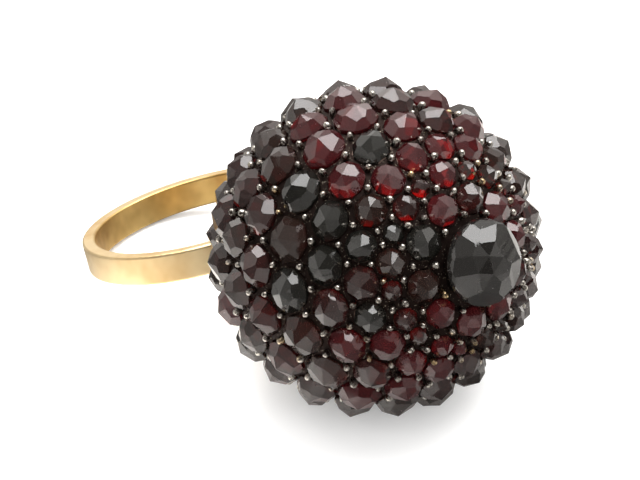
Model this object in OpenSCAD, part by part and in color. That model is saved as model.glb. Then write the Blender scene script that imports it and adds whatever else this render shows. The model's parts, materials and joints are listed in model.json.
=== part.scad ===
// Garnet ball ring: a plain gold band that carries a hollow ball paved with rose-cut garnets.
// It lies on its side as it rests by itself, on the ball and on the far edge of the band.
// Millimetres, +Z up. The centre stone points to +X and upwards, and the origin is on the
// surface that the ring lies on, under the middle of the whole ring.

/* [Ball] */
// Diameter of the ball over the tips of its stones
ball_d = 27; // [25:0.5:29]
// Depth from the largest stones' tips down to the bare metal of the ball
stone_rise = 1.3; // [1:0.1:1.5]
// Thickness of the ball's metal wall
wall = 0.9; // [0.6:0.1:1.5]

/* [Band] */
// Inside diameter of the band, where the finger goes
finger_d = 18; // [16:0.25:20]
// Thickness of the band
band_t = 1.15; // [0.9:0.05:1.5]
// Width of the band, along the finger
band_w = 2.5; // [2:0.1:4]
// Radius that rounds the band's edges
edge_r = 0.2; // [0.1:0.05:0.3]

/* [Centre stone] */
// Diameter of the large garnet at the crown
centre_d = 6.7; // [6:0.1:7]
// Height of the large garnet above its flat base
centre_h = 2.5; // [2:0.1:3]

/* [Hidden] */
$fn = 96;

// The stones of the two tiers round the crown, as azimuths round it, set where they fit
INNER = [0, 35, 70, 104, 141, 182, 216, 256, 291, 326];
MEDIUM = [15, 47, 85, 122, 160, 200, 237, 274, 311, 348];
SMALL = [1, 31, 64, 105, 141, 178, 216, 252, 289, 326];

// One row for each tier of the paving: its polar angle from the centre stone, its number of
// stones, the azimuth of the first one or all of them, and the stones' size against the pitch.
// Azimuth 0 is to the ring's side and azimuth 90 is along the finger.
POLAR = 0;
COUNT = 1;
AZIMUTH = 2;
SIZE = 3;
TIERS = [
    [23, 10, INNER, 0.95],
    [34, 10, MEDIUM, 0.58],
    [34.5, 10, SMALL, 0.42],
    [45, 19, 151.6, 1],
    [58, 19, 142.7, 1],
    [73, 19, 152.9, 1],
    [88, 19, 144.8, 0.95],
    [101, 19, 154.8, 0.95],
    [115, 19, 146.84, 0.97],
    [128, 19, 155.5, 1],
    [141, 19, 146, 1]
];
// The tier that touches the surface when the ring lies on its side, with two stones at equal
// angles to both sides of its lowest place
resting_tier = TIERS[8];
resting_side = 180 / resting_tier[COUNT];
// Share of the pitch along a tier that a stone fills
fill = 0.92;
// A stone's height against its diameter, for stones too small for the full rise
rise_share = 0.36;
rise_least = 0.12;
// Polar angle at which the paving has ended and the saucer begins
saucer_edge = 150;

ball_r = ball_d / 2;
metal_r = ball_r - stone_rise;
finger_r = finger_d / 2;
band_r = finger_r + band_t;
joint_gap = 0.05;
saucer_t = 0.6;
saucer_r = metal_r + joint_gap + saucer_t;
// The band's outer face dips into the saucer, where the two are soldered
solder_depth = 0.4;
// From the ball's middle to the middle of the finger hole
reach = saucer_r - solder_depth + band_r;

// The seat lifts the centre stone's base clear of the ball
seat_rise = 0.35;
seat_r = 0.44 * centre_d;
seat_root = 1.2;
centre_base = metal_r + seat_rise;

// The centre stone's facets: each ring of corners has their number, their radius and height as
// shares of the whole stone, and the angle of the first one.
CORNERS = 0;
RADIUS = 1;
HEIGHT = 2;
TURN = 3;
FACET_RINGS = [
    [12, 0.97, 0, 0],
    [12, 1, 0.14, 0],
    [12, 0.85, 0.56, 15],
    [6, 0.42, 0.9, 0]
];

function azimuths(tier) =
    is_list(tier[AZIMUTH])
        ? tier[AZIMUTH]
        : [for (j = [0:tier[COUNT] - 1]) tier[AZIMUTH] + j * 360 / tier[COUNT]];

function stone_d(tier) =
    2 * PI * metal_r * sin(tier[POLAR]) / tier[COUNT] * fill * tier[SIZE];

function tip_r(tier) = metal_r + min(stone_rise, rise_share * stone_d(tier) + rise_least);

// A place on the ball by its polar angle from the crown, its azimuth and its distance
function place(polar, azimuth, r) =
    r * [sin(polar) * cos(azimuth), sin(polar) * sin(azimuth), cos(polar)];

// Middles of the band's two outer edge roundings, from the middle of the finger hole
edge_out = band_r - edge_r;
edge_side = band_w / 2 - edge_r;

// Lean of the ring at which two tips of the resting tier and the band's far edge touch the surface
touch_down = tip_r(resting_tier) * sin(resting_tier[POLAR]) * cos(resting_side) - edge_side;
touch_along = reach + edge_out + tip_r(resting_tier) * cos(resting_tier[POLAR]);
lean = atan2(touch_down, touch_along) - asin(edge_r / norm([touch_down, touch_along]));
ball_height = (reach + edge_out) * sin(lean) + edge_side * cos(lean) + edge_r;

// The ring's two ends in X, which put the origin under its middle
front_x = max([
    for (ring = FACET_RINGS)
        (centre_base + ring[HEIGHT] * centre_h) * cos(lean) + ring[RADIUS] * centre_d / 2 * sin(lean)
]);
back_x = (reach + edge_out) * cos(lean) + edge_side * sin(lean) + edge_r;

// Sets the ring's own frame down on the surface. In that frame the crown is on +X, the finger
// goes along Z, and the origin is the ball's middle.
module lying()
    translate([(back_x - front_x) / 2, 0, ball_height])
        rotate([0, -lean, 0])
            children();

// Turns what stands on the Z axis to stand on the crown's axis, and its X axis to the ring's side
module on_the_crown()
    rotate([90, 0, 90])
        children();

// The paving's outer form is convex, and each of its corners is the tip of a stone
module paving() {
    tips = [
        for (tier = TIERS)
            for (azimuth = azimuths(tier))
                place(tier[POLAR], azimuth, tip_r(tier))
    ];
    hull()
        polyhedron(tips, [for (k = [2:len(tips) - 1]) [k - 2, k - 1, k]]);
}

// The low round seat under the centre stone
module centre_seat()
    translate([0, 0, centre_base - joint_gap - seat_root])
        cylinder(h = seat_root, r = seat_r);

// The hollow ball: paved all round but for its back, where the bare metal meets the saucer
module setting()
    color("#2e1618")
        lying()
            on_the_crown()
                difference() {
                    union() {
                        paving();
                        sphere(r = metal_r);
                        centre_seat();
                    }
                    sphere(r = metal_r - wall);
                }

function ring_points(ring) = [
    for (k = [0:ring[CORNERS] - 1])
        let (a = ring[TURN] + k * 360 / ring[CORNERS])
            [
                ring[RADIUS] * centre_d / 2 * cos(a),
                ring[RADIUS] * centre_d / 2 * sin(a),
                ring[HEIGHT] * centre_h
            ]
];

// The large garnet is convex: flat below, with rings of facets that rise to the apex
module centre_stone() {
    points = concat([for (ring = FACET_RINGS) each ring_points(ring)], [[0, 0, centre_h]]);
    apex = len(points) - 1;
    color("#1c0f12")
        lying()
            on_the_crown()
                translate([0, 0, centre_base])
                    hull()
                        polyhedron(points, [for (k = [0:apex - 2]) [k, k + 1, apex]]);
}

// The band's section: a flat strip with rounded edges
module band_section() {
    translate([finger_r + edge_r, -band_w / 2])
        square([band_t - 2 * edge_r, band_w]);
    translate([finger_r, -edge_side])
        square([band_t, 2 * edge_side]);
    for (side = [-1, 1])
        for (out = [finger_r + edge_r, edge_out])
            translate([out, side * edge_side])
                circle(r = edge_r);
}

module band()
    rotate_extrude()
        band_section();

// The shallow saucer behind the ball, a slice of a shell round the ball's own middle
module saucer()
    rotate_extrude()
        intersection() {
            difference() {
                circle(r = saucer_r);
                circle(r = metal_r + joint_gap);
            }
            polygon([
                [0, 0],
                1.2 * saucer_r * [sin(saucer_edge), cos(saucer_edge)],
                [0, -1.2 * saucer_r]
            ]);
        }

module shank()
    color("#d9a94e")
        lying()
            union() {
                translate([-reach, 0, 0])
                    band();
                difference() {
                    on_the_crown()
                        saucer();
                    translate([-reach, 0, 0])
                        cylinder(h = 2 * band_w, r = finger_r + band_t / 2, center = true);
                }
            }

shank();
setting();
centre_stone();
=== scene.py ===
import json
from contextlib import contextmanager
from math import atan2, cos, pi, radians, sin, sqrt
from random import Random

import bmesh
import bpy
from mathutils import Matrix, Vector


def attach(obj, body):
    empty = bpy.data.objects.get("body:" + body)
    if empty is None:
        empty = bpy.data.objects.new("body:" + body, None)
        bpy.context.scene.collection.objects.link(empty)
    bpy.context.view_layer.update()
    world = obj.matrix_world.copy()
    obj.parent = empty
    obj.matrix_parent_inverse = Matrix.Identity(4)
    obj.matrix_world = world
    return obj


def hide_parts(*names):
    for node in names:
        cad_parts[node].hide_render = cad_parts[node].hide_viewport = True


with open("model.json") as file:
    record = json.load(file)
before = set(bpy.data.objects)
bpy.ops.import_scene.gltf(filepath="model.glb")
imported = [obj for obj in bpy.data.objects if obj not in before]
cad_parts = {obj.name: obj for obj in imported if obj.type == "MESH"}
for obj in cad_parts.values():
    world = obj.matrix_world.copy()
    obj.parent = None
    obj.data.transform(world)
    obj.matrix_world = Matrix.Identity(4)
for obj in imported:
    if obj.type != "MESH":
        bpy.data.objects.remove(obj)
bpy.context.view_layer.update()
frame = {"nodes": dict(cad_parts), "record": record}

# Pieces are modelled in millimetres and set down in metres.
MM = 0.001

# The ball's sizes, the same as in the solid ring, in millimetres
METAL_R = 12.2
CENTRE_D = 6.7
CENTRE_H = 2.5
SEAT_RISE = 0.35
SEAT_R = 0.44 * CENTRE_D
CENTRE_BASE = METAL_R + SEAT_RISE
# Gap between two pieces that meet
JOINT_GAP = 0.05
# From the middle of the finger hole to the middle of the ball
REACH = 22.6

# The stones of the two tiers round the centre stone, as azimuths round it
INNER = [0, 35, 70, 104, 141, 182, 216, 256, 291, 326]
MEDIUM = [15, 47, 85, 122, 160, 200, 237, 274, 311, 348]
SMALL = [1, 31, 64, 105, 141, 178, 216, 252, 289, 326]
# Number of stones in each of the other tiers
FULL_TIER = 19
# Share of the pitch along a tier that a stone fills
FILL = 0.92
# How far the largest stones rise from the bare metal. Smaller ones rise by a share of their
# diameter and a little more.
RISE = 1.3
RISE_SHARE = 0.36
RISE_LEAST = 0.12


def full_tier(first):
    return [first + j * 360 / FULL_TIER for j in range(FULL_TIER)]


# Each tier's polar angle from the centre stone, its stones' azimuths, and their size against
# the pitch. Azimuth 0 is to the ring's side and azimuth 90 is along the finger.
TIERS = [
    (23, INNER, 0.95),
    (34, MEDIUM, 0.58),
    (34.5, SMALL, 0.42),
    (45, full_tier(151.6), 1),
    (58, full_tier(142.7), 1),
    (73, full_tier(152.9), 1),
    (88, full_tier(144.8), 0.95),
    (101, full_tier(154.8), 0.95),
    (115, full_tier(146.84), 0.97),
    (128, full_tier(155.5), 1),
    (141, full_tier(146), 1),
]
# The tier whose stones touch the surface that the ring lies on
RESTING_TIER = 9

# The ring's own directions: the crown of the ball, the finger, and the ring's side
finger_hole = frame["record"]["mounts"][0]
finger_r = finger_hole["dims"]["r_mm"]
finger = Vector(finger_hole["axis"])
side = Vector((0, 1, 0))
crown = side.cross(finger)
hole_middle = Vector(finger_hole["pos_m"])
ball_middle = hole_middle + REACH * MM * crown
directions = Matrix((side, finger, crown)).transposed().to_4x4()
on_the_ball = Matrix.Translation(ball_middle) @ directions @ Matrix.Scale(MM, 4)

# The camera: its distance and direction from the ball, and its lens
CAMERA_AWAY = 276.4 * MM
CAMERA_UP = radians(35.02)
CAMERA_ROUND = radians(43.42)
LENS = 197.86
SENSOR_W = 36
# Where the ball's middle stands in the picture, from the picture's middle, in metres at the ball
BALL_RIGHT = 4.34 * MM
BALL_BELOW = 0.53 * MM
level = Vector((cos(CAMERA_ROUND), -sin(CAMERA_ROUND), 0))
to_camera = cos(CAMERA_UP) * level + Vector((0, 0, sin(CAMERA_UP)))
picture_right = Vector((sin(CAMERA_ROUND), cos(CAMERA_ROUND), 0))
picture_up = to_camera.cross(picture_right)


def pick_only(*pieces):
    bpy.ops.object.select_all(action="DESELECT")
    for piece in pieces:
        piece.select_set(True)
    bpy.context.view_layer.objects.active = pieces[0]


@contextmanager
def at_the_bench(piece, kind="FACE"):
    """Edits one piece's mesh, with all of it selected at the start"""
    pick_only(piece)
    bpy.ops.object.mode_set(mode="EDIT")
    bpy.ops.mesh.select_mode(type=kind)
    bpy.ops.mesh.select_all(action="SELECT")
    yield bmesh.from_edit_mesh(piece.data)
    bpy.ops.object.mode_set(mode="OBJECT")


def pick_parts(piece, parts, wanted):
    """Selects only the wanted ones of a mesh's corners, edges or faces"""
    bpy.ops.mesh.select_all(action="DESELECT")
    mesh = bmesh.from_edit_mesh(piece.data)
    for part in getattr(mesh, parts):
        if wanted(part):
            part.select_set(True)
    mesh.select_flush_mode()
    bmesh.update_edit_mesh(piece.data)


def cut_away(spot, facing):
    """Takes away all that is beyond a plane through the spot, and closes the cut"""
    bpy.ops.mesh.select_all(action="SELECT")
    bpy.ops.mesh.bisect(
        plane_co=spot, plane_no=facing, use_fill=True, clear_outer=True, threshold=1e-5
    )


def named(name):
    """Names the piece just added, and applies its place to its mesh"""
    piece = bpy.context.object
    piece.name = name
    piece.data.name = name
    pick_only(piece)
    bpy.ops.object.transform_apply(location=True, rotation=True, scale=True)
    return piece


def copied(piece, name):
    twin = piece.copy()
    twin.data = piece.data.copy()
    twin.name = name
    bpy.context.collection.objects.link(twin)
    return twin


def joined(pieces, name):
    pick_only(*pieces)
    bpy.ops.object.join()
    return named(name)


def put_away(*pieces):
    for piece in pieces:
        bpy.data.objects.remove(piece)


def set_down(piece, place):
    """Sets a piece down in its place and applies that to its mesh, so that its object is left
    at the origin"""
    piece.matrix_world = place
    pick_only(piece)
    bpy.ops.object.transform_apply(location=True, rotation=True, scale=True)


def hand_over(piece, slot, *nodes):
    """Says that a piece is fixed to the ring, and the nodes that it stands for. The slot is not
    used.
    """
    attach(piece, "root")
    if nodes:
        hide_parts(*nodes)


class Shading:
    """Shader nodes and their links, for a material or for the room"""

    def __init__(self, tree):
        self.nodes = tree.nodes
        self.links = tree.links

    def add(self, kind, settings=None, numbered=None, **inputs):
        """Adds a node with its settings, and feeds its sockets by their numbers or their names"""
        node = self.nodes.new(kind)
        for name, value in (settings or {}).items():
            setattr(node, name, value)
        for number, value in (numbered or {}).items():
            self.feed(node.inputs[number], value)
        for name, value in inputs.items():
            self.feed(node.inputs[name.replace("_", " ")], value)
        return node

    def feed(self, socket, value):
        if isinstance(value, bpy.types.NodeSocket):
            self.links.new(value, socket)
        else:
            socket.default_value = value

    def between(self, value, low, high, to_low=0.0, to_high=1.0, ease="LINEAR"):
        """Goes from to_low to to_high while the value goes from low to high"""
        return self.add(
            "ShaderNodeMapRange",
            {"interpolation_type": ease},
            Value=value,
            From_Min=low,
            From_Max=high,
            To_Min=to_low,
            To_Max=to_high,
        ).outputs["Result"]

    def mixed(self, share, first, second):
        """Mixes two colours"""
        return self.add(
            "ShaderNodeMix", {"data_type": "RGBA"}, {0: share, 6: first, 7: second}
        ).outputs[2]

    def blended(self, share, first, second):
        """Mixes two numbers"""
        return self.add("ShaderNodeMix", {}, {0: share, 2: first, 3: second}).outputs[0]

    def maths(self, operation, first, second):
        return self.add(
            "ShaderNodeMath", {"operation": operation}, {0: first, 1: second}
        ).outputs[0]

    def vector_maths(self, operation, *values):
        return self.add("ShaderNodeVectorMath", {"operation": operation}, dict(enumerate(values)))

    def patches(self, coords, scale):
        """Gives each of many patches a tone of its own"""
        cells = self.add("ShaderNodeTexVoronoi", Vector=coords, Scale=scale)
        return self.add("ShaderNodeSeparateColor", Color=cells.outputs["Color"]).outputs["Red"]


class Finish(Shading):
    """A material"""

    def __init__(self, name):
        self.material = bpy.data.materials.new(name)
        self.material.use_nodes = True
        super().__init__(self.material.node_tree)
        self.shader = self.nodes["Principled BSDF"]
        self.output = self.nodes["Material Output"]
        self.object_coords = self.add("ShaderNodeTexCoord").outputs["Object"]

    def set(self, **inputs):
        for name, value in inputs.items():
            self.feed(self.shader.inputs[name.replace("_", " ")], value)

    def noise(self, size_mm, detail=2, roughness=0.5):
        return self.add(
            "ShaderNodeTexNoise",
            Vector=self.object_coords,
            Scale=1 / (size_mm * MM),
            Detail=detail,
            Roughness=roughness,
        ).outputs["Fac"]

    def cells(self, size_mm):
        return self.add(
            "ShaderNodeTexVoronoi", Vector=self.object_coords, Scale=1 / (size_mm * MM)
        ).outputs["Distance"]

    def bumped(self, height, depth_mm, strength):
        return self.add(
            "ShaderNodeBump", Height=height, Distance=depth_mm * MM, Strength=strength
        ).outputs["Normal"]


def garnet_finish(name, surface, tint, depth, clear=0.985):
    """Polished garnet: clear glass of a deep colour, finely worn, and pitted in places"""
    finish = Finish(name)
    wear = finish.noise(0.25, detail=5, roughness=0.75)
    pitted = finish.between(finish.noise(1.2, detail=1), 0.57, 0.63)
    pits = finish.maths("MULTIPLY", finish.between(finish.cells(0.45), 0.11, 0.07), pitted)
    finish.set(
        Base_Color=(*surface, 1),
        Roughness=finish.maths("ADD", finish.between(wear, 0.55, 0.75, 0.0, 0.05), pits),
        IOR=1.76,
        Transmission_Weight=clear,
        Normal=finish.bumped(wear, 0.002, 0.04),
    )
    absorption = finish.add("ShaderNodeVolumeAbsorption", Color=(*tint, 1), Density=depth)
    finish.links.new(absorption.outputs["Volume"], finish.output.inputs["Volume"])
    return finish.material


def dark_metal_finish():
    """The setting's metal, black with age, with bright specks and a few worn gilt places"""
    finish = Finish("aged_setting")
    mottle = finish.noise(0.5, detail=4, roughness=0.65)
    specks = finish.between(finish.cells(0.13), 0.26, 0.14)
    rare = finish.between(finish.noise(0.3, detail=1), 0.5, 0.56)
    bright = finish.maths("MULTIPLY", specks, rare)
    aged = finish.mixed(mottle, (0.012, 0.009, 0.009, 1), (0.06, 0.04, 0.034, 1))
    finish.set(
        Base_Color=finish.mixed(bright, aged, (0.75, 0.68, 0.55, 1)),
        Metallic=1.0,
        Roughness=finish.between(mottle, 0.3, 0.7, 0.5, 0.75),
        Normal=finish.bumped(mottle, 0.1, 0.9),
    )
    return finish.material


def foil_finish():
    """The bottoms of the stones' pockets, which send the light back through the garnets"""
    finish = Finish("pocket_foil")
    creases = finish.noise(0.6, detail=3)
    finish.set(
        Base_Color=finish.mixed(creases, (0.035, 0.025, 0.022, 1), (0.18, 0.125, 0.1, 1)),
        Metallic=1.0,
        Roughness=finish.between(creases, 0.3, 0.7, 0.08, 0.2),
        Normal=finish.bumped(creases, 0.05, 0.5),
    )
    return finish.material


def grain_finish():
    """Beads of silver gone grey and gilt in places, dark in the hollows of their surface"""
    finish = Finish("grain_silver_gilt")
    tarnish = finish.noise(0.22, detail=4, roughness=0.6)
    warm = finish.between(finish.noise(2.5, detail=1), 0.56, 0.7)
    metal = finish.mixed(warm, (0.68, 0.64, 0.58, 1), (0.74, 0.54, 0.3, 1))
    finish.set(
        Base_Color=finish.mixed(finish.between(tarnish, 0.48, 0.6), metal, (0.06, 0.045, 0.04, 1)),
        Metallic=1.0,
        Roughness=finish.between(tarnish, 0.35, 0.65, 0.12, 0.45),
        Normal=finish.bumped(tarnish, 0.04, 0.7),
    )
    return finish.material


# The painted shade inside the finger hole, a darker and browner gold, is full this far out from
# the hole's wall, and ends this far out.
HOLE_SHADE_FULL = 0.05
HOLE_SHADE_END = 0.25


def gold_finish():
    """Yellow gold with a satin grain and faint brownish stains, with painted shade inside the
    finger hole: a darker, browner gold there
    """
    finish = Finish("satin_gold")
    stains = finish.noise(5, detail=3, roughness=0.6)
    grain = finish.noise(0.15, detail=3)
    from_middle = finish.vector_maths("SUBTRACT", finish.object_coords, hole_middle)
    across = finish.vector_maths("CROSS_PRODUCT", from_middle.outputs["Vector"], finger)
    from_axis = finish.vector_maths("LENGTH", across.outputs["Vector"])
    # Painted shade inside the finger hole: a darker, browner gold that fades out just past the
    # hole's wall
    hole_shade = finish.between(
        from_axis.outputs["Value"],
        (finger_r + HOLE_SHADE_END) * MM,
        (finger_r + HOLE_SHADE_FULL) * MM,
    )
    outer = finish.mixed(
        finish.between(stains, 0.45, 0.8), (0.98, 0.77, 0.45, 1), (0.75, 0.5, 0.22, 1)
    )
    shaded_hole_gold = finish.mixed(
        finish.between(stains, 0.35, 0.65), (0.92, 0.66, 0.26, 1), (0.5, 0.3, 0.1, 1)
    )
    finish.set(
        Base_Color=finish.mixed(hole_shade, outer, shaded_hole_gold),
        Metallic=1.0,
        Roughness=finish.between(stains, 0.3, 0.7, 0.3, 0.42),
        Normal=finish.bumped(grain, 0.01, 0.35),
    )
    return finish.material


def warm_white(brightness):
    return (brightness, 0.965 * brightness, 0.92 * brightness, 1)


# The table's patches of painted shade and painted light, which only reflections show: their size
# in millimetres, and their tones
TABLE_PATCH = 26
PAINTED_SHADE_PATCH = warm_white(0.05)
PAINTED_LIGHT_PATCH = warm_white(0.42)
# The table's pools of painted light, in front of the band and behind the ball, which only
# reflections show:
# their middle, the distances in millimetres where the painted light ends and where it is full, and
# its brightness
PAINTED_LIGHT_PLACES = [
    (hole_middle + 18 * MM * level, 24, 12, 0.9),
    (ball_middle + 50 * MM * picture_right - 45 * MM * level, 48, 25, 0.85),
]
# Light that the table gives off where the camera sees it
TABLE_GLOW = 0.2


def floor_finish():
    """White table, over-exposed where the camera sees it. What the facets and the band show of it
    is
    painted: patches of painted shade and light, and two pools of painted light."""
    finish = Finish("white_table")
    seen = finish.add("ShaderNodeLightPath").outputs["Is Camera Ray"]
    paper = finish.mixed(finish.noise(40), (0.86, 0.86, 0.86, 1), (0.88, 0.88, 0.88, 1))
    # Painted shade and light for all rays but the camera's: dark and bright patches, and below
    # them two pools of painted light
    tones = finish.patches(finish.object_coords, 1 / (TABLE_PATCH * MM))
    painted_reflection = finish.mixed(tones, PAINTED_SHADE_PATCH, PAINTED_LIGHT_PATCH)
    # Pools of painted light, which the band and the facets show as reflections
    for middle, end, full, brightness in PAINTED_LIGHT_PLACES:
        away = finish.vector_maths("DISTANCE", finish.object_coords, (middle.x, middle.y, 0))
        painted_pool = finish.between(away.outputs["Value"], end * MM, full * MM)
        painted_reflection = finish.mixed(painted_pool, painted_reflection, warm_white(brightness))
    finish.set(
        Base_Color=finish.mixed(seen, painted_reflection, paper),
        Roughness=0.7,
        Emission_Color=(1, 1, 1, 1),
        Emission_Strength=finish.maths("MULTIPLY", seen, TABLE_GLOW),
    )
    return finish.material


# The small garnets by kind: the surface's colour, the colour left in thick garnet, and how fast
# the rest is lost, per metre. The red ones are a little cloudy.
WINE = garnet_finish("garnet_wine", (0.8, 0.34, 0.3), (0.77, 0.13, 0.18), 6000)
BROWN = garnet_finish("garnet_brown", (0.75, 0.42, 0.33), (0.73, 0.28, 0.22), 5600)
RED = garnet_finish("garnet_red", (0.8, 0.13, 0.15), (0.8, 0.11, 0.14), 6600, clear=0.965)
BLACK = garnet_finish("garnet_black", (0.45, 0.43, 0.36), (0.55, 0.32, 0.28), 5600)

# The reddest and the blackest stones on the side that shows, tier by tier, each by its place
# in the tier's azimuths
REDDEST = {
    1: [0, 1, 3, 6, 7, 8],
    2: [0, 2, 6],
    3: [7],
    4: [3, 4, 5, 14, 15, 16, 17],
    5: [3, 5, 14, 16, 18],
    6: [4, 14, 16, 17],
    7: [16, 17],
}
BLACKEST = {1: [4], 3: [4], 4: [0], 5: [0, 1, 17], 6: [1, 18]}
# How the kinds are shared out among the other stones
KINDS = (WINE, BROWN, RED, BLACK)
KIND_SHARES = (30, 24, 1, 5)

# Stones from the fifth tier on are ovals: wider along the tier than across it.
FIRST_OVAL_TIER = 5
OVAL = (0.98, 1.08)


class Stone:
    """One small garnet's place on the ball, its girdle's radius and its tip's distance"""

    def __init__(self, tier, number, polar, azimuth, girdle, tip):
        self.tier = tier
        self.number = number
        self.polar = radians(polar)
        self.azimuth = radians(azimuth)
        self.girdle = girdle
        self.tip = tip
        self.across, self.along = OVAL if tier >= FIRST_OVAL_TIER else (1, 1)
        self.out = Vector((
            sin(self.polar) * cos(self.azimuth),
            sin(self.polar) * sin(self.azimuth),
            cos(self.polar),
        ))

    def stand(self):
        """Stands what is on the Z axis on the ball at the stone's place, with Y along the tier"""
        return Matrix.Rotation(self.azimuth, 4, "Z") @ Matrix.Rotation(self.polar, 4, "Y")

    def oval(self):
        return Matrix.Diagonal((self.across, self.along, 1, 1))

    def girdle_towards(self, place):
        """The girdle's radius on the side where another place on the ball is"""
        there = self.stand().inverted() @ place
        turn = atan2(there.y, there.x)
        return self.girdle / sqrt((cos(turn) / self.across) ** 2 + (sin(turn) / self.along) ** 2)


# Girdles sit at this distance from the ball's middle, and this far apart at the least.
GIRDLE_R = METAL_R - 0.1
BETWEEN_GIRDLES = 0.17
# The stones aren't all of one size, and none is larger than this against its plan.
FULLNESS = (0.95, 1.1)
FULLEST = 1.15
# Two stones can touch only where their directions from the ball's middle are this close.
NEAR = 0.5


def chart_stones():
    """Plans the small garnets tier by tier, each with a size of its own"""
    draw = Random(3)
    stones = []
    for tier, (polar, azimuths, size) in enumerate(TIERS, 1):
        stone_d = 2 * pi * METAL_R * sin(radians(polar)) / len(azimuths) * FILL * size
        tip = METAL_R + min(RISE, RISE_SHARE * stone_d + RISE_LEAST)
        for number, azimuth in enumerate(azimuths):
            girdle = stone_d / 2 * draw.uniform(*FULLNESS)
            stones.append(Stone(tier, number, polar, azimuth, girdle, tip))
    return stones


def room_for_both(stone, other):
    """The most that two girdles' radii may add up to"""
    return (stone.out - other.out).length * GIRDLE_R - BETWEEN_GIRDLES


def fit_side_by_side(stones):
    """Takes smaller stones where two girdles would come too close, and larger where they can"""
    for stone in stones:
        stone.near = [
            other for other in stones
            if other is not stone and (stone.out - other.out).length < NEAR
        ]
        stone.most = stone.girdle * FULLEST
    for stone in stones:
        for other in stone.near:
            room = room_for_both(stone, other)
            both = stone.girdle_towards(other.out) + other.girdle_towards(stone.out)
            if both > room:
                stone.girdle *= room / both
                other.girdle *= room / both
    for stone in stones:
        growth = min(
            (room_for_both(stone, other) - other.girdle_towards(stone.out))
            / stone.girdle_towards(other.out)
            for other in stone.near
        )
        stone.girdle = min(stone.girdle * growth, stone.most)


def blank(name, corners, radius, height):
    """A rough stone that stands on its base, to be ground"""
    bpy.ops.mesh.primitive_cylinder_add(
        vertices=corners, radius=radius, depth=height, location=(0, 0, height / 2)
    )
    return named(name)


def grind(slope, turn, spot):
    """Grinds one facet through the spot, by its slope and the way it faces round the stone"""
    cut_away(spot, (sin(slope) * cos(turn), sin(slope) * sin(turn), cos(slope)))


# The number of different rose cuts, which are ground once and copied
ROSE_CUTS = 24
# A rose cut of radius 1 stands this high, and is widest at its girdle.
CUT_H = 0.86
GIRDLE_H = 0.2
# The numbers of facets that a star and a belt can have, and their slopes in degrees
STAR_FACETS = [5, 6, 6, 7]
STAR_SLOPES = (21, 25)
BELT_FACETS = [7, 8, 8, 9]
BELT_SLOPES = (48, 60)
# Under the girdle the edge leans back towards the base.
UNDERCUT_SLOPE = radians(104)
# How far the belt stands from the middle, and how far the tip may be off it
BELT_OUT = (0.93, 0.97)
TIP_OFF = 0.08
# Most that a facet is turned from its place, as a share of the pitch, and that a star facet's
# slope differs from its star's, in degrees
BELT_STRAY = 0.12
STAR_STRAY = 0.1
SLOPE_STRAY = 4


def rose_cut(number):
    """Cuts a garnet to an angular outline, with a belt of steep facets under a star"""
    draw = Random(number)
    star = draw.choice(STAR_FACETS)
    belt = draw.choice(BELT_FACETS)
    tip = (draw.uniform(-TIP_OFF, TIP_OFF), draw.uniform(-TIP_OFF, TIP_OFF), CUT_H)
    star_slope = draw.uniform(*STAR_SLOPES)
    stone = blank(f"rose_cut_{number:02d}", 24, 1, 2)
    with at_the_bench(stone):
        first = draw.uniform(0, 360)
        for k in range(belt):
            turn = radians(first + 360 / belt * (k + draw.uniform(-BELT_STRAY, BELT_STRAY)))
            out = draw.uniform(*BELT_OUT)
            edge = (out * cos(turn), out * sin(turn), GIRDLE_H)
            grind(UNDERCUT_SLOPE, turn, edge)
            grind(radians(draw.uniform(*BELT_SLOPES)), turn, edge)
        first = draw.uniform(0, 360)
        for k in range(star):
            slope = radians(star_slope + draw.uniform(-SLOPE_STRAY, SLOPE_STRAY))
            turn = radians(first + 360 / star * (k + draw.uniform(-STAR_STRAY, STAR_STRAY)))
            grind(slope, turn, tip)
    return stone


def kind_of(stone, draw):
    kind = draw.choices(KINDS, KIND_SHARES)[0]
    if stone.number in REDDEST.get(stone.tier, []):
        kind = RED
    if stone.number in BLACKEST.get(stone.tier, []):
        kind = BLACK
    return kind


# The metal between the stones, the pockets' bottoms, and the stones' bases just over them
WEB_R = METAL_R - 0.2
POCKET_R = METAL_R - 0.5
STONE_BASE_R = POCKET_R + 0.05
POCKET_ROOM = 0.02
# Tips stay this much inside the ball's outer form.
TIP_ROOM = 0.03
# Most that a stone is tilted in its pocket, in degrees
SEAT_TILT = 1.5


def seat_stones(stones, cuts):
    """Sets a copy of one of the cuts at each stone's place, and joins each tier's stones"""
    draw = Random(7)
    tiers = {}
    for number, stone in enumerate(stones):
        cut = draw.choice(cuts)
        garnet = copied(cut, f"stone_{number}")
        height = stone.tip - TIP_ROOM - STONE_BASE_R
        top = max(v.co.z for v in cut.data.vertices)
        tilt = 0 if stone.tier == RESTING_TIER else radians(draw.uniform(-SEAT_TILT, SEAT_TILT))
        garnet.matrix_world = (
            stone.stand()
            @ Matrix.Translation((0, 0, STONE_BASE_R))
            @ Matrix.Rotation(tilt, 4, "X")
            @ Matrix.Rotation(draw.choice([0, pi]), 4, "Z")
            @ stone.oval()
            @ Matrix.Diagonal((stone.girdle, stone.girdle, height / top, 1))
        )
        garnet.data.materials.append(kind_of(stone, draw))
        tiers.setdefault(stone.tier, []).append(garnet)
    for tier, garnets in tiers.items():
        piece = joined(garnets, f"tier_{tier:02d}")
        set_down(piece, on_the_ball)
        hand_over(piece, "garnet")


# Polar angles where the paving has ended and where the saucer begins
PAVED_TO = 147
SAUCER_FROM = 150
# Length of the drill that bores the pockets
DRILL_L = 1.5


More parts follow.
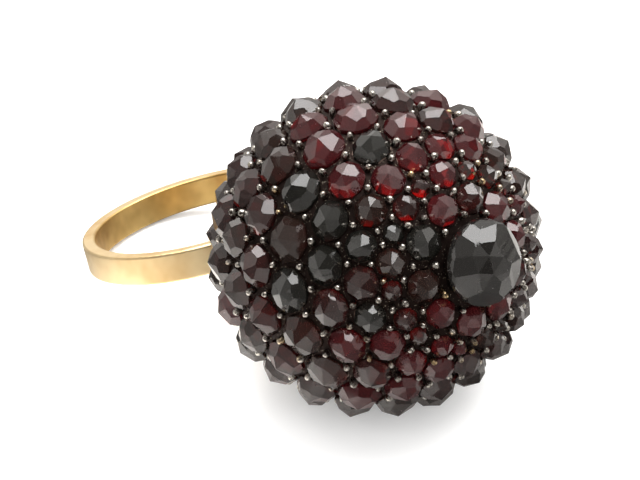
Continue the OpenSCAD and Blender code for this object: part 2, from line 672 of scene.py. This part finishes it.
def drill_for(stone):
    """A drill for one stone's pocket, narrower towards the ball's middle"""
    slant = (stone.girdle + POCKET_ROOM) / GIRDLE_R
    bpy.ops.mesh.primitive_cone_add(
        vertices=24, depth=DRILL_L, location=(0, 0, POCKET_R + DRILL_L / 2),
        radius1=slant * POCKET_R, radius2=slant * (POCKET_R + DRILL_L),
    )
    drill = named("drill")
    drill.matrix_world = stone.stand() @ stone.oval()
    return drill


def bore_pockets(ball, stones):
    """Bores a flat-bottomed pocket for each stone, tier by tier"""
    for tier in range(1, len(TIERS) + 1):
        drill = joined([drill_for(stone) for stone in stones if stone.tier == tier], "drill")
        bore = ball.modifiers.new("bore", "BOOLEAN")
        bore.operation = "DIFFERENCE"
        bore.object = drill
        bore.solver = "EXACT"
        pick_only(ball)
        bpy.ops.object.modifier_apply(modifier=bore.name)
        put_away(drill)


def make_ball_setting(stones):
    """The ball, with a flat seat at its crown, bare metal at its back, and the stones' pockets"""
    bpy.ops.mesh.primitive_uv_sphere_add(segments=120, ring_count=72, radius=WEB_R)
    ball = named("ball_setting")
    back_z = WEB_R * cos(radians((PAVED_TO + SAUCER_FROM) / 2))
    seat_z = sqrt(WEB_R**2 - SEAT_R**2)
    with at_the_bench(ball, "VERT"):
        pick_parts(ball, "verts", lambda v: v.co.z < back_z)
        bpy.ops.transform.resize(value=[METAL_R / WEB_R] * 3, center_override=(0, 0, 0))
        cut_away((0, 0, seat_z), (0, 0, 1))
    with at_the_bench(ball):
        # The seat is the one level face with many corners.
        pick_parts(ball, "faces", lambda f: f.normal.z > 0.999 and len(f.verts) > 20)
        rise = CENTRE_BASE - JOINT_GAP - seat_z
        bpy.ops.mesh.extrude_region_move(TRANSFORM_OT_translate={"value": (0, 0, rise)})
    bore_pockets(ball, stones)
    ball.data.materials.append(dark_metal_finish())
    ball.data.materials.append(foil_finish())
    for face in ball.data.polygons:
        face.material_index = int(face.center.length < STONE_BASE_R and face.center.z > back_z)
    pick_only(ball)
    bpy.ops.object.shade_smooth_by_angle(angle=radians(30))
    set_down(ball, on_the_ball)
    hand_over(ball, "dark_setting", "setting")


def neighbours_of_gaps(stones):
    """Finds every three stones with only a gap between them, by a hull over their places"""
    mesh = bpy.data.meshes.new("places")
    mesh.from_pydata([stone.out for stone in stones], [], [])
    places = bpy.data.objects.new("places", mesh)
    bpy.context.collection.objects.link(places)
    with at_the_bench(places, "VERT"):
        bpy.ops.mesh.convex_hull(join_triangles=False)
    threes = [[stones[v] for v in face.vertices] for face in mesh.polygons]
    put_away(places)
    return [three for three in threes if len(three) == 3]


# How often a grain is moved half of the way that it still has to go
NESTLE_MOVES = 30


def nestle(three):
    """Moves a grain to where it is equally far from its three stones' girdles"""
    spot = sum((stone.out for stone in three), Vector()).normalized() * GIRDLE_R
    for _ in range(NESTLE_MOVES):
        gaps = [
            (spot - stone.out * GIRDLE_R).length - stone.girdle_towards(spot) for stone in three
        ]
        mean = sum(gaps) / 3
        for stone, gap in zip(three, gaps):
            spot += (spot - stone.out * GIRDLE_R).normalized() * (mean - gap) * 0.5
        spot = spot.normalized() * GIRDLE_R
    return spot, mean


# A grain's radius, its top's distance from the ball's middle, and the widest gap that gets one
GRAIN_R = 0.3
GRAIN_TOP_R = METAL_R + 0.5
WIDEST_GAP = 1
# The foot of a grain starts this far under its middle, and is drawn out by this much.
FOOT_UNDER = 0.1
FOOT_DRAWN = (1.25, 1.25, 2.2)
# A grain's share of the full size is its gap's width against its radius and this much more, but
# never less than the least.
GRAIN_MORE = 0.3
GRAIN_LEAST = 0.55
# How much grains differ in size, depth and width, and how many degrees they lean at the most
GRAIN_SIZES = (0.9, 1.12)
GRAIN_DEPTHS = (0.7, 1.3)
GRAIN_WIDTHS = (0.75, 1.0)
GRAIN_LEAN = 20


def make_grain():
    """A bead on a short foot, as raised from the metal and rounded by a punch"""
    bpy.ops.mesh.primitive_uv_sphere_add(segments=8, ring_count=6, radius=GRAIN_R)
    grain = named("grain")
    with at_the_bench(grain, "VERT"):
        pick_parts(grain, "verts", lambda v: v.co.z < -FOOT_UNDER)
        bpy.ops.transform.resize(value=FOOT_DRAWN, center_override=(0, 0, 0))
    pick_only(grain)
    bpy.ops.object.shade_smooth()
    return grain


def place_of_grain(spot, gap, draw):
    """A grain's place over its spot, with its size, turn and lean"""
    size = min(1, max(GRAIN_LEAST, gap / GRAIN_R + GRAIN_MORE)) * draw.uniform(*GRAIN_SIZES)
    out = spot.normalized()
    return (
        Matrix.Translation(out * (GRAIN_TOP_R - GRAIN_R * draw.uniform(*GRAIN_DEPTHS)))
        @ out.to_track_quat("Z", "Y").to_matrix().to_4x4()
        @ Matrix.Rotation(draw.uniform(0, pi), 4, "Z")
        @ Matrix.Rotation(radians(draw.uniform(-GRAIN_LEAN, GRAIN_LEAN)), 4, "X")
        @ Matrix.Diagonal((size * draw.uniform(*GRAIN_WIDTHS), size, size, 1))
    )


def set_grains(stones):
    """Sets a grain in each gap between three stones, where it has room"""
    centre = Stone(0, 0, 0, 0, CENTRE_D / 2, CENTRE_BASE + CENTRE_H)
    draw = Random(11)
    pattern = make_grain()
    grains, spots = [], []
    for three in neighbours_of_gaps([centre] + stones):
        spot, gap = nestle(three)
        crowded = any((spot - other).length < 2 * GRAIN_R for other in spots)
        if gap > WIDEST_GAP or crowded or spot.z < WEB_R * cos(radians(PAVED_TO)):
            continue
        spots.append(spot)
        grain = copied(pattern, "grain_copy")
        grain.matrix_world = place_of_grain(spot, gap, draw)
        grains.append(grain)
    put_away(pattern)
    piece = joined(grains, "grains")
    piece.data.materials.append(grain_finish())
    set_down(piece, on_the_ball)
    hand_over(piece, "grain_metal")


# Corners of the centre stone's facets, in millimetres from its middle: to the ring's side, and
# along the finger. The star's point is to one side of the middle.
CORNERS = {
    "point": (-0.73, 1.0),
    "star_1": (-1.04, 2.11), "star_2": (0.34, 1.77), "star_3": (0.48, 0.4),
    "star_4": (-0.84, -0.43), "star_5": (-1.97, 0.06), "star_6": (-1.98, 1.47),
    "upper_1": (-1.58, 2.9), "upper_2": (-0.98, 2.91), "upper_3": (1.18, 2.71),
    "upper_4": (0.1, 3.33), "upper_5": (2.5, 1.97), "upper_6": (0.32, 3.19),
    "right_1": (1.9, -0.17), "right_2": (2.88, -0.5), "right_3": (2.21, -1.78),
    "lower_1": (0.7, -1.18), "lower_2": (0.37, -2.27), "lower_3": (-0.37, -1.87),
    "lower_4": (-0.78, -2.1), "lower_5": (-1.91, -1.5), "lower_6": (-2.62, -2.05),
    "left_1": (-3.31, 0.16), "left_2": (-2.75, 1.82),
}
# Each facet lies on three of the corners.
FACETS = [
    ("point", "star_1", "star_2"),
    ("point", "star_2", "star_3"),
    ("point", "star_3", "star_4"),
    ("point", "star_4", "star_5"),
    ("point", "star_5", "star_6"),
    ("point", "star_6", "star_1"),
    ("star_1", "star_2", "upper_3"),
    ("star_1", "upper_6", "upper_1"),
    ("upper_2", "upper_3", "upper_4"),
    ("star_2", "star_3", "upper_5"),
    ("star_3", "star_4", "lower_1"),
    ("star_4", "star_5", "lower_5"),
    ("star_4", "lower_3", "lower_5"),
    ("star_5", "left_1", "lower_5"),
    ("star_5", "star_6", "left_1"),
    ("star_6", "upper_1", "left_2"),
    ("lower_6", "lower_4", "lower_5"),
    ("upper_5", "right_1", "right_2"),
    ("right_1", "lower_1", "right_3"),
    ("lower_1", "lower_3", "lower_2"),
]
# The corners are on a dome that stands on the stone's girdle.
CENTRE_GIRDLE_H = 0.35
DOME_H = 1.95
# The steep facets all round the edge, over the girdle
EDGE_FACETS = 20
EDGE_SLOPE = radians(77)
# The narrow facets along the right edge: where they meet the dome, their slope, and the ways
# that they face, in degrees
RIM_R = 3.02
RIM_SLOPE = radians(51)
RIM_TURNS = range(-75, 76, 25)
# A small chip takes off one of the star's corners.
CHIP_DEPTH = 0.045
CHIP_SLOPE = radians(36)
CHIP_TURN = radians(115)


def on_the_dome(across, up):
    share = (across**2 + up**2) / (CENTRE_D / 2) ** 2
    return Vector((across, up, CENTRE_GIRDLE_H + DOME_H * sqrt(max(0, 1 - share))))


def cut_centre_stone():
    """The large rose-cut garnet, with a belt of steep facets under its star"""
    stone = blank("centre_garnet", 60, CENTRE_D / 2, 6)
    with at_the_bench(stone):
        for k in range(EDGE_FACETS):
            turn = radians(360 / EDGE_FACETS * k)
            edge = (CENTRE_D / 2 * cos(turn), CENTRE_D / 2 * sin(turn), CENTRE_GIRDLE_H)
            grind(EDGE_SLOPE, turn, edge)
        for degrees_round in RIM_TURNS:
            turn = radians(degrees_round)
            grind(RIM_SLOPE, turn, on_the_dome(RIM_R * cos(turn), RIM_R * sin(turn)))
        for facet in FACETS:
            first, second, third = (on_the_dome(*CORNERS[corner]) for corner in facet)
            facing = (second - first).cross(third - first).normalized()
            cut_away(first, facing if facing.z > 0 else -facing)
        chip = on_the_dome(*CORNERS["star_1"]) - Vector((0, 0, CHIP_DEPTH))
        grind(CHIP_SLOPE, CHIP_TURN, chip)
    finish = garnet_finish("centre_garnet_dark", (0.55, 0.5, 0.45), (0.5, 0.32, 0.3), 3600)
    stone.data.materials.append(finish)
    set_down(stone, on_the_ball @ Matrix.Translation((0, 0, CENTRE_BASE)))
    hand_over(stone, "garnet", "centre_stone")


def finish_the_shank():
    shank = frame["nodes"]["shank"]
    shank.data.materials.clear()
    shank.data.materials.append(gold_finish())


# The table's width, in metres
TABLE_W = 3


def lay_floor():
    bpy.ops.mesh.primitive_plane_add(size=TABLE_W)
    floor = named("table")
    floor.data.materials.append(floor_finish())


def aim(thing, place, target):
    thing.location = place
    thing.rotation_euler = (target - place).to_track_quat("-Z", "Y").to_euler()


def place_camera():
    bpy.ops.object.camera_add()
    camera = bpy.context.object
    camera.data.lens = LENS
    camera.data.sensor_width = SENSOR_W
    aim(
        camera,
        ball_middle + CAMERA_AWAY * to_camera,
        ball_middle - BALL_RIGHT * picture_right + BALL_BELOW * picture_up,
    )
    bpy.context.scene.camera = camera


def as_seen(right, up_high, towards_us):
    """A direction as the camera sees it: to the right, upwards, and towards the camera"""
    return (right * picture_right + towards_us * level + up_high * Vector((0, 0, 1))).normalized()


# Things in the room that the facets show: to the right, up, towards us, and their brightness
ROOM = [
    (0.77, 0.6, 0.23, 0.05),
    (0.94, 0.33, 0.14, 0.75),
    (0.93, 0.11, 0.34, 0.3),
    (0.77, 0.17, 0.61, 0.04),
    (0.61, 0.39, 0.69, 0.22),
    (0.6, 0.57, 0.55, 0.5),
    (-0.17, 0.16, 0.97, 0.18),
    (-0.27, 0.9, 0.36, 0.3),
]
# The angles from its middle where a thing ends and where it is full, in degrees
THING_END = 13
THING_FULL = 9
# How fine the walls' patches are, and the tones between which they go from black to white
WALL_PATCHES = 3.2
DARKEST_TONE = 0.2
LIGHTEST_TONE = 0.8


def light_the_room():
    """A dim room, darkest towards the camera, with a bright wall behind the ring"""
    world = bpy.data.worlds.new("room")
    bpy.context.scene.world = world
    world.use_nodes = True
    room = Shading(world.node_tree)
    around = room.add("ShaderNodeTexCoord").outputs["Generated"]

    def glow(middle, wide, narrow, far, near):
        """Changes from far to near between two angles round a direction"""
        towards = room.vector_maths("DOT_PRODUCT", around, middle).outputs["Value"]
        return room.between(
            towards, cos(radians(wide)), cos(radians(narrow)), far, near, ease="SMOOTHSTEP"
        )

    tones = room.between(room.patches(around, WALL_PATCHES), DARKEST_TONE, LIGHTEST_TONE)
    near_wall = glow(to_camera, wide=75, narrow=35, far=0.9, near=0.35)
    far_wall = glow(as_seen(0.1, 0.6, -0.8), wide=65, narrow=25, far=0.05, near=0.9)
    walls = room.maths("ADD", room.maths("MULTIPLY", near_wall, tones), far_wall)
    for right, up_high, towards_us, brightness in ROOM:
        there = glow(as_seen(right, up_high, towards_us), THING_END, THING_FULL, 0, 1)
        walls = room.blended(there, walls, brightness)
    seen = room.add("ShaderNodeLightPath").outputs["Is Camera Ray"]
    background = room.nodes["Background"]
    room.feed(background.inputs["Strength"], room.maths("MAXIMUM", walls, seen))
    room.feed(background.inputs["Color"], room.mixed(seen, warm_white(1), (1, 1, 1, 1)))


# Distance of the soft boxes from the ball
LAMP_AWAY = 300 * MM


def add_softbox(name, direction, wide, deep, brightness):
    """A soft box that faces the ball, its face so many millimetres wide and deep"""
    bpy.ops.object.light_add(type="AREA")
    lamp = bpy.context.object
    lamp.name = name
    lamp.data.shape = "RECTANGLE"
    lamp.data.size = wide * MM
    lamp.data.size_y = deep * MM
    lamp.data.energy = brightness * pi * wide * deep * MM**2
    aim(lamp, ball_middle + LAMP_AWAY * direction, ball_middle)
    return lamp


def hang_softboxes():
    """One soft box over the ring, and two for the table only, which don't show in the facets"""
    add_softbox("softbox_over", as_seen(0.1, 0.93, -0.25), 340, 240, 3.75)
    for lamp in (
        add_softbox("softbox_front", as_seen(0, 0.5, 0.85), 300, 300, 4.0),
        add_softbox("softbox_table", as_seen(0, 1, 0), 400, 400, 2.5),
    ):
        lamp.visible_glossy = False
        lamp.visible_transmission = False


stones = chart_stones()
fit_side_by_side(stones)
cuts = [rose_cut(number) for number in range(ROSE_CUTS)]
seat_stones(stones, cuts)
put_away(*cuts)
make_ball_setting(stones)
set_grains(stones)
cut_centre_stone()
finish_the_shank()
lay_floor()
place_camera()
light_the_room()
hang_softboxes()
bpy.context.scene.view_settings.view_transform = "Standard"
